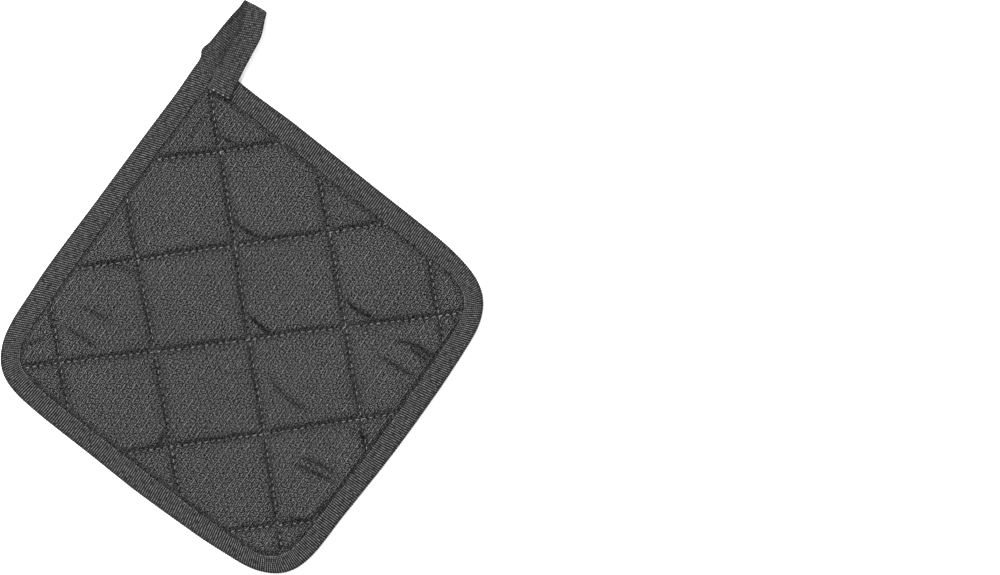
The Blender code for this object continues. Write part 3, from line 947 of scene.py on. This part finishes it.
def swell_cloth(bm, sizes):
    """Let the flat sheet swell under pressure while the seams and the edge hold it down.

    A cloth simulation raises and puckers it. The result comes back subdivided once, and it
    replaces the sheet.
    """
    x = np.array([vert.co.x for vert in bm.verts])
    y = np.array([vert.co.y for vert in bm.verts])
    upright, level = seam_offsets(x, y)
    held = np.min(np.abs(upright + level), axis=0) < SEAM_HOLD
    held |= inset_distance(x, y) < TAPE_WIDTH
    for vert in bm.verts:
        vert.co.z = 0.1 * MM * noise.noise(vert.co / (8 * MM))
    mesh = bpy.data.meshes.new("swelling cloth")
    bm.to_mesh(mesh)
    cloth = bpy.data.objects.new("swelling cloth", mesh)
    scene = bpy.context.scene
    scene.collection.objects.link(cloth)
    pins = cloth.vertex_groups.new(name="held")
    pins.add([int(i) for i in np.nonzero(held)[0]], 1.0, "REPLACE")
    modifier = cloth.modifiers.new("Cloth", "CLOTH")
    settings = modifier.settings
    settings.quality = 6
    settings.mass = 0.0001
    settings.tension_stiffness = settings.compression_stiffness = 5
    settings.shear_stiffness = 5
    settings.bending_stiffness = 0.3
    settings.tension_damping = settings.compression_damping = settings.shear_damping = 2
    settings.vertex_group_mass = "held"
    settings.pin_stiffness = 50
    settings.use_pressure = True
    settings.uniform_pressure_force = 100
    settings.shrink_min = -sizes.slack
    settings.effector_weights.gravity = 0
    modifier.point_cache.frame_start = 1
    modifier.point_cache.frame_end = SWELL_FRAMES
    cloth.modifiers.new("Subdivision", "SUBSURF").levels = 1
    for frame_number in range(1, SWELL_FRAMES + 1):
        scene.frame_set(frame_number)
    swollen = cloth.evaluated_get(bpy.context.evaluated_depsgraph_get())
    bm.clear()
    bm.from_mesh(swollen.to_mesh())
    swollen.to_mesh_clear()
    bpy.data.objects.remove(cloth)
    bpy.data.meshes.remove(mesh)
    scene.frame_set(1)


def refine_front(bm, back):
    """Halve the front's faces beside the stitching and the creases.

    `back` is the layer that marks the vertices of the back.
    """
    front = [edge for edge in bm.edges if not any(vert[back] for vert in edge.verts)]
    x, y = np.array([(edge.verts[0].co + edge.verts[1].co)[:2] for edge in front]).T / 2
    upright, level = seam_offsets(x, y)
    fine = np.min(np.abs(upright + level), axis=0) < FINE_BESIDE
    for crease in CREASES:
        fine |= np.abs(nearest_on(crease_line(crease), x, y)[0]) < FINE_BESIDE
    fine &= inset_distance(x, y) > TAPE_WIDTH - 1 * MM
    edges = [edge for edge, chosen in zip(front, fine) if chosen]
    bmesh.ops.subdivide_edges(bm, edges=edges, cuts=1, use_grid_fill=True)


def make_quilted_pad(sizes, colours):
    """The padded cloth, sewn down in diamonds, with its thin edge inside the tape."""
    bm = seam_grid(sizes.grid)
    trim_to_edge(bm, FLANGE_INSET)
    bmesh.ops.remove_doubles(bm, verts=bm.verts, dist=GRID_MERGE)
    swell_cloth(bm, sizes)
    back = bm.verts.layers.int.new("back")
    grown = bmesh.ops.extrude_face_region(bm, geom=bm.faces[:], use_keep_orig=True)
    for part in grown["geom"]:
        if isinstance(part, bmesh.types.BMVert):
            part[back] = 1
    refine_front(bm, back)
    x, y, swell = np.array([vert.co for vert in bm.verts]).T
    high, low, painted_hollow_shade = pad_heights(x, y, swell, sizes)
    # The painted shade is stored on the back's vertices too, by plan place.
    shade = bm.verts.layers.float.new("painted_hollow_shade")
    for vert, top, bottom, depth in zip(bm.verts, high, low, painted_hollow_shade):
        vert.co.z = bottom if vert[back] else top
        vert[shade] = depth
    bm.verts.layers.int.remove(back)
    bmesh.ops.translate(bm, verts=bm.verts, vec=PAD_MIDDLE)
    bmesh.ops.recalc_face_normals(bm, faces=bm.faces)
    mesh = bmesh_to_mesh(QUILT, bm)
    piece = add_piece(QUILT, mesh, cloth_material(colours))
    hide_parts("quilted_pad")


# --- the tape ---------------------------------------------------------------------------------


def tape_section(width, thickness):
    """The folded tape's section as (across, up, ribbed) from one open edge round to the other.

    Across runs from the fold to the open edges, up from the middle. The outside is ribbed.
    """
    half, layer = thickness / 2, min(TAPE_LAYER, thickness * 0.47)
    face = [
        (width - 0.05 * MM, half - layer, 0),
        (width, half - 0.55 * layer, 0.3),
        (width - 0.35 * MM, half - 0.3 * layer, 0.7),
        (width - 0.75 * MM, half - 0.34 * layer, 0.9),
        (width - 1.4 * MM, half - 0.1 * layer, 1),
        (width * 0.72, half, 1),
        (width * 0.5, half + 0.04 * MM, 1),
        (width * 0.32, half, 1),
        (width * 0.2, half - 0.1 * layer, 1),
    ]
    fold = min(half, 1.8 * MM)
    turns = [math.radians(angle) for angle in (60, 35, 12)]
    face += [(fold * (1 - math.cos(a)), half * math.sin(a) ** 0.8, 1) for a in turns]
    inner = half - layer
    inside = [(layer * 1.6, inner, 0), (width * 0.6, inner, 0)]
    back = [(across, -up, ribbed) for across, up, ribbed in reversed(face)]
    return face + back + [(a, -u, r) for a, u, r in reversed(inside)] + inside


def sweep_tape(name, along, frames, sizes, slants, edge_shade=0):
    """Sweep the folded tape's section along frames of (fold, across, up, width, thickness, pale).

    `pale` is how strongly the fold gets a painted highlight instead of painted shade.
    `edge_shade` is how much painted shade the open edge, the steep places and the last end get.
    Both go into the rim attribute. The UV map holds the ribs' own distance along the tape and
    the distance round its section.
    """
    sections = len(tape_section(LOOP_WIDTH, LOOP_THICKNESS))
    bm = bmesh.new()
    bm.loops.layers.uv.new("tape")
    rim = bm.verts.layers.float.new("rim")
    bmesh.ops.create_grid(
        bm, x_segments=len(frames) - 1, y_segments=sections, size=1, calc_uvs=True
    )
    places, marks, rims = [], [], []
    for distance, slant, parts in zip(along, slants, frames):
        fold, across, up, width, thickness, pale = parts
        section = tape_section(width, thickness)
        ring, marked, rimmed, girth = [], [], [], 0
        for i, (n, h, ribbed) in enumerate(section):
            before, after = section[i - 1], section[(i + 1) % sections]
            out = Vector((after[1] - before[1], before[0] - after[0])).normalized()
            wobble = Vector((distance / WOBBLE_RUN, n / WOBBLE_RUN, width / MM))
            mark = distance - slant * n + RIB_WOBBLE * noise.noise(wobble)
            smooth = 1 - min(pale, 1) * near(n, FOLD_SMOOTH_WIDTH)
            rib = math.cos(math.tau * mark / sizes.rib_pitch) * sizes.rib_height / 2
            rib *= ribbed * smooth
            ring.append(fold + across * (n - out.x * rib) + up * (h - out.y * rib))
            marked.append((mark, girth))
            girth += math.hypot(after[0] - n, after[1] - h)
            # Painted shade at the edges and steep places; the fold gets shade or a highlight.
            shade = near(width - n, OPEN_EDGE_SHADE_WIDTH) + STEEP_SHADE * (1 - abs(up.z)) ** 2
            shade += END_SHADE * near(along[-1] - distance, END_SHADE_WIDTH)
            rimmed.append(edge_shade * shade + near(n, FOLD_SHADE_WIDTH) * (1 - 2 * pale))
        places.append(ring + ring[:1])
        marks.append(marked + [(marked[0][0], girth)])
        rims.append(rimmed + rimmed[:1])
    uv = bm.loops.layers.uv["tape"]
    for face in bm.faces:
        for loop in face.loops:
            column = round((loop.vert.co.x + 1) / 2 * (len(frames) - 1))
            loop[uv].uv = marks[column][round((loop.vert.co.y + 1) / 2 * sections)]
    for vert in bm.verts:
        column = round((vert.co.x + 1) / 2 * (len(frames) - 1))
        row = round((vert.co.y + 1) / 2 * sections)
        vert.co = places[column][row] + PAD_MIDDLE
        vert[rim] = rims[column][row]
    bmesh.ops.remove_doubles(bm, verts=bm.verts, dist=0.001 * MM)
    ends = [edge for edge in bm.edges if edge.is_boundary]
    caps = bmesh.ops.holes_fill(bm, edges=ends)["faces"]
    bmesh.ops.triangulate(bm, faces=caps)
    bmesh.ops.recalc_face_normals(bm, faces=bm.faces)
    return bmesh_to_mesh(name, bm)


def edge_frames(along):
    """Frames round the pad's edge. Under the loop the tape's first end is pressed flatter."""
    point, way = OUTLINE.at(along)
    outs = laid(TAPE_LAY, along / OUTLINE.length, "out") + FOLD_OUT
    tucked = 1 - smooth_step((along - TUCK_LENGTH) / TUCK_FADE)
    frames = []
    up = Vector((0, 0, 1))
    for (x, y), (way_x, way_y), width, out, tuck in zip(
        point, way, tape_width(along), outs, tucked
    ):
        across = Vector((way_y, -way_x, 0))
        fold = Vector((x, y, TAPE_THICKNESS / 2)) - across * out
        frames.append((fold, across, up, width + out, TAPE_THICKNESS - TUCK_DEPTH * tuck, 0))
    return frames


def make_edge_tape(sizes, colours):
    """The ribbed tape folded over the pad's edge, from the loop corner round to the loop."""
    step = sizes.rib_pitch / 5
    overlap = 0.3 * MM
    along = np.arange(EDGE_TAPE_START, OUTLINE.length - LOOP_LEAVES + overlap, step)
    slants = laid(TAPE_LAY, along / OUTLINE.length, "slope")
    mesh = sweep_tape(TAPE, along, edge_frames(along), sizes, slants)
    piece = add_piece(TAPE, mesh, tape_material("edge tape", sizes, colours, EDGE_RIBS))
    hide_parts("edge_binding")


def loop_line():
    """Places along the loop: (x, y and z of the middle of the tape, angle across)."""
    tucks = []
    for back in (LOOP_LEAVES, LOOP_LEAVES / 2):
        (x, y), way = OUTLINE.at(OUTLINE.length - back)
        middle = Vector((x, y, TAPE_THICKNESS / 2))
        middle += Vector((way[1], -way[0], 0)) * TAPE_WIDTH / 2
        tucks.append((middle, math.degrees(math.atan2(-way[0], way[1]))))
    places = tucks + [(Vector((p.x, p.y, p.z)), p.across) for p in LOOP_ROUTE]
    line = []
    for i in range(len(places) - 1):
        before, after = places[max(i - 1, 0)][0], places[min(i + 2, len(places) - 1)][0]
        (start, turn), (end, next_turn) = places[i], places[i + 1]
        curve = interpolate_bezier(
            start, start + (end - before) / 6, end - (after - start) / 6, end, 40
        )
        for k, point in enumerate(curve[:-1]):
            line.append((*point, turn + (next_turn - turn) * k / 39))
    line.append((*places[-1][0], places[-1][1]))
    return np.array(line)


def make_hanging_loop(sizes, colours):
    """The same tape carried on past the corner, turned back and sewn down on the front."""
    line = loop_line()
    steps = np.linalg.norm(np.diff(line[:, :3], axis=0), axis=1)
    measure = np.concatenate(([0], np.cumsum(steps)))
    along = np.arange(0, measure[-1], sizes.rib_pitch / 6)
    places = np.stack([np.interp(along, measure, column) for column in line.T], axis=-1)
    ways = np.gradient(places[:, :3], along, axis=0)
    share = along / measure[-1]
    widths, outs = (laid(LOOP_LAY, share, column) for column in ("width", "out"))
    flats = smooth_step((along - FLATTENS_FROM) / FLATTENS_OVER)
    pales = LIT_FOLD * smooth_step((along - measure[-1] + LIT_LENGTH) / LIT_OVER)
    frames = []
    for (x, y, z, turn), way, width, out, flat, pale in zip(
        places, ways, widths, outs, flats, pales
    ):
        thickness = TAPE_THICKNESS + (LOOP_THICKNESS - TAPE_THICKNESS) * flat
        across = Vector((math.cos(math.radians(turn)), math.sin(math.radians(turn)), 0))
        up = across.cross(Vector(way)).normalized()
        fold = Vector((x, y, z)) - across * (width / 2 + out)
        frames.append((fold, across, up, width + out, thickness, pale))
    slants = laid(LOOP_LAY, share, "slope")
    leaves = OUTLINE.length - LOOP_LEAVES
    mesh = sweep_tape(LOOP, along + leaves, frames, sizes, slants, edge_shade=1)
    piece = add_piece(LOOP, mesh, tape_material("loop tape", sizes, colours, LOOP_RIBS))
    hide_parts("hanging_loop")


# --- stitching --------------------------------------------------------------------------------


def stitch_grain(length, thickness):
    """One stitch: a short rounded length of thread whose ends dive into the cloth."""
    bm = bmesh.new()
    bmesh.ops.create_uvsphere(bm, u_segments=7, v_segments=6, radius=0.5)
    bmesh.ops.rotate(bm, verts=bm.verts, matrix=Matrix.Rotation(math.pi / 2, 3, "Y"))
    bmesh.ops.scale(bm, verts=bm.verts, vec=(length, thickness, thickness))
    for vert in bm.verts:
        share = 2 * vert.co.x / length
        vert.co.z -= 0.35 * thickness * share * share
    mesh = bpy.data.meshes.new("stitch")
    bm.to_mesh(mesh)
    bm.free()
    return mesh


def sew(name, places, thickness, material):
    """Join one stitch at each (middle, way, up, length) into a single piece."""
    bm = bmesh.new()
    for middle, way, up, length in places:
        grain = stitch_grain(length, thickness)
        side = up.cross(way).normalized()
        turn = Matrix((way, side, way.cross(side))).transposed().to_4x4()
        grain.transform(Matrix.Translation(middle) @ turn)
        bm.from_mesh(grain)
        bpy.data.meshes.remove(grain)
    piece = add_piece(name, bmesh_to_mesh(name, bm), material)
    return piece


def surface_of(name):
    """A tree to cast rays on one finished piece."""
    return BVHTree.FromObject(bpy.data.objects[name], bpy.context.evaluated_depsgraph_get())


def drop(tree, x, y, from_above):
    """The height of a surface at a place, seen from above or from below."""
    start = Vector((x, y, 50 * MM if from_above else -50 * MM))
    hit = tree.ray_cast(start, Vector((0, 0, -1 if from_above else 1)))[0]
    return None if hit is None else hit.z


def lay_stitch(tree, x, y, angle, length, thickness, from_above):
    """A stitch on a surface: it follows its ends, and its middle stays clear of the cloth."""
    way = Vector((math.cos(angle), math.sin(angle), 0))
    spots = []
    for side in (-0.5, 0, 0.5):
        place = Vector((x, y, 0)) + way * side * length
        height = drop(tree, place.x, place.y, from_above)
        if height is None:
            raise RuntimeError(f"no cloth under the stitch at {x:.4f}, {y:.4f}")
        spots.append(Vector((place.x, place.y, height)))
    start, middle, end = spots
    up = Vector((0, 0, 1 if from_above else -1))
    chord = (start + end) / 2
    middle = max(chord, middle, key=up.dot) + up * 0.15 * thickness
    return middle, (end - start).normalized(), up, length


def quilting_places(tree, sizes, from_above):
    """Every quilting stitch of one face."""
    places = []
    for seams, upright in ((UPRIGHT_SEAMS, True), (LEVEL_SEAMS, False)):
        for number in range(len(seams)):
            spots, way = seam_places(seams, number, sizes.stitch, upright)
            lay = UPRIGHT_STITCH if upright else LEVEL_STITCH
            lean = math.atan2(way[1], way[0]) + math.radians(lay.askew)
            for spot in spots + way * sizes.stitch / 2:
                x, y = spot[0] + PAD_MIDDLE.x, spot[1] + PAD_MIDDLE.y
                jitter = noise.noise(Vector((x, y, 0)) / JITTER_RUN)
                angle = lean + TURN_JITTER * jitter
                length = sizes.stitch * (lay.share + LENGTH_JITTER * jitter)
                places.append(lay_stitch(tree, x, y, angle, length, sizes.thread, from_above))
    return places


def make_quilting_stitches(sizes, colours):
    """The stitches that hold the pad down in diamonds, on its front and its back."""
    tree = surface_of(QUILT)
    thread = thread_material("quilting thread", colours)
    sew("quilting_stitches_front", quilting_places(tree, sizes, True), sizes.thread, thread)
    sew("quilting_stitches_back", quilting_places(tree, sizes, False), sizes.thread, thread)


def make_edge_stitches(sizes, colours):
    """The row along the tape's inner edge, on both faces, and the row across the loop's end."""
    tree = surface_of(TAPE)
    # The edge row's thread is dimmed: painted shade for thread sunk into the tape.
    material = thread_material("edge thread", colours, 0.65)
    thread, length = sizes.thread * EDGE_THREAD_SHARE, sizes.stitch * EDGE_STITCH_SHARE
    along = np.arange(EDGE_ROW_FROM, OUTLINE.length - EDGE_ROW_TO, sizes.stitch)
    point, way = OUTLINE.at(along)
    insets = tape_width(along) - EDGE_ROW_INSET
    for name, from_above in (("edge_stitches_front", True), ("edge_stitches_back", False)):
        places = []
        for inset, (x, y), (way_x, way_y) in zip(insets, point, way):
            x += way_y * inset + PAD_MIDDLE.x
            y += -way_x * inset + PAD_MIDDLE.y
            angle = math.atan2(way_y, way_x)
            places.append(lay_stitch(tree, x, y, angle, length, thread, from_above))
        sew(name, places, thread, material)

    tree = surface_of(LOOP)
    end = LOOP_ROUTE[-1]
    angle = math.radians(end.across)
    across = Vector((math.cos(angle), math.sin(angle), 0))
    back = Vector((-across.y, across.x, 0)) * LOOP_STITCH_BACK
    angle += LOOP_STITCH_ASKEW
    length, thread = LOOP_STITCH_LENGTH, LOOP_STITCH_THICKNESS
    places = []
    for share in LOOP_STITCHES:
        spot = Vector((end.x, end.y, 0)) + PAD_MIDDLE + back + across * share * LOOP_WIDTH
        places.append(lay_stitch(tree, spot.x, spot.y, angle, length, thread, True))
    sew("loop_stitches", places, thread, thread_material("loop thread", colours, 1.3))


# --- the stage --------------------------------------------------------------------------------


def look_at(item, target):
    way = target - item.location
    item.rotation_euler = way.to_track_quat("-Z", "Y").to_euler()


def add_softbox(name, place, size, watts):
    light = bpy.data.lights.new(name, "AREA")
    light.shape = "DISK"
    light.size = size
    light.energy = watts
    item = bpy.data.objects.new(name, light)
    item.location = place
    look_at(item, Vector((0, 0, 0)))
    bpy.context.scene.collection.objects.link(item)


def make_stage(colours):
    """A pale floor, soft light from the photo's upper left, and the camera straight above."""
    bm = bmesh.new()
    bmesh.ops.create_circle(bm, cap_ends=True, segments=96, radius=FLOOR_RADIUS)
    floor = bpy.data.objects.new("studio_floor", bmesh_to_mesh("studio_floor", bm))
    floor.data.transform(Matrix.Translation((0, 0, -FLOOR_GAP)))
    floor.data.materials.append(floor_material(colours))
    bpy.context.scene.collection.objects.link(floor)

    world = bpy.data.worlds.new("studio")
    world.use_nodes = True
    sky = world.node_tree.nodes["Background"]
    sky.inputs["Color"].default_value = (1, 1, 1, 1)
    sky.inputs["Strength"].default_value = SKY_STRENGTH
    bpy.context.scene.world = world
    turn = Matrix.Rotation(PHOTO_TURN, 3, "Z")
    add_softbox("key light", turn @ KEY_PLACE, KEY_SIZE, KEY_WATTS)

    camera = bpy.data.objects.new("camera", bpy.data.cameras.new("camera"))
    camera.data.lens = LENS
    camera.data.sensor_width = SENSOR
    camera.data.clip_end = 20
    camera.location = PAD_MIDDLE + PHOTO_MIDDLE + Vector((0, 0, PHOTO_WIDTH * LENS / SENSOR))
    camera.rotation_euler = (0, 0, PHOTO_TURN)
    bpy.context.scene.collection.objects.link(camera)
    bpy.context.scene.camera = camera
    bpy.context.scene.view_settings.view_transform = "Standard"


# --- operators and panel ----------------------------------------------------------------------


def build(context, make):
    """Call one of the make_ functions with the sizes and colours kept on the scene."""
    make(context.scene.holder_sizes, context.scene.holder_colours)
    return {"FINISHED"}


class POTHOLDER_OT_stage(bpy.types.Operator):
    """Add the floor, the light and the camera"""

    bl_idname = "pot_holder.stage"
    bl_label = "Stage"
    bl_options = {"REGISTER", "UNDO"}

    def execute(self, context):
        make_stage(context.scene.holder_colours)
        return {"FINISHED"}


class POTHOLDER_OT_quilted_pad(bpy.types.Operator):
    """Add the padded cloth"""

    bl_idname = "pot_holder.quilted_pad"
    bl_label = "Quilted pad"
    bl_options = {"REGISTER", "UNDO"}

    def execute(self, context):
        return build(context, make_quilted_pad)


class POTHOLDER_OT_edge_tape(bpy.types.Operator):
    """Add the ribbed tape round the edge"""

    bl_idname = "pot_holder.edge_tape"
    bl_label = "Edge tape"
    bl_options = {"REGISTER", "UNDO"}

    def execute(self, context):
        return build(context, make_edge_tape)


class POTHOLDER_OT_hanging_loop(bpy.types.Operator):
    """Add the hanging loop"""

    bl_idname = "pot_holder.hanging_loop"
    bl_label = "Hanging loop"
    bl_options = {"REGISTER", "UNDO"}

    def execute(self, context):
        return build(context, make_hanging_loop)


class POTHOLDER_OT_quilting_stitches(bpy.types.Operator):
    """Add the quilting stitches on the front and the back"""

    bl_idname = "pot_holder.quilting_stitches"
    bl_label = "Quilting stitches"
    bl_options = {"REGISTER", "UNDO"}

    def execute(self, context):
        return build(context, make_quilting_stitches)


class POTHOLDER_OT_edge_stitches(bpy.types.Operator):
    """Add the stitches along the tape and on the loop"""

    bl_idname = "pot_holder.edge_stitches"
    bl_label = "Edge stitches"
    bl_options = {"REGISTER", "UNDO"}

    def execute(self, context):
        return build(context, make_edge_stitches)


OPERATORS = (
    POTHOLDER_OT_stage,
    POTHOLDER_OT_quilted_pad,
    POTHOLDER_OT_edge_tape,
    POTHOLDER_OT_hanging_loop,
    POTHOLDER_OT_quilting_stitches,
    POTHOLDER_OT_edge_stitches,
)


class VIEW3D_PT_pot_holder(bpy.types.Panel):
    """The holder's sizes, colours and steps"""

    bl_label = "Pot holder"
    bl_space_type = "VIEW_3D"
    bl_region_type = "UI"
    bl_category = "Pot holder"

    def draw(self, context):
        for settings in (context.scene.holder_sizes, context.scene.holder_colours):
            for key in settings.__annotations__:
                self.layout.prop(settings, key)
        for operator in OPERATORS:
            self.layout.operator(operator.bl_idname)


CLASSES = (HolderSizes, HolderColours, *OPERATORS, VIEW3D_PT_pot_holder)


def register():
    for item in CLASSES:
        bpy.utils.register_class(item)
    bpy.types.Scene.holder_sizes = PointerProperty(type=HolderSizes)
    bpy.types.Scene.holder_colours = PointerProperty(type=HolderColours)


def unregister():
    del bpy.types.Scene.holder_colours
    del bpy.types.Scene.holder_sizes
    for item in reversed(CLASSES):
        bpy.utils.unregister_class(item)


def main():
    register()
    bpy.ops.pot_holder.stage()
    bpy.ops.pot_holder.quilted_pad()
    bpy.ops.pot_holder.edge_tape()
    bpy.ops.pot_holder.hanging_loop()
    bpy.ops.pot_holder.quilting_stitches()
    bpy.ops.pot_holder.edge_stitches()


if __name__ == "__main__":
    main()
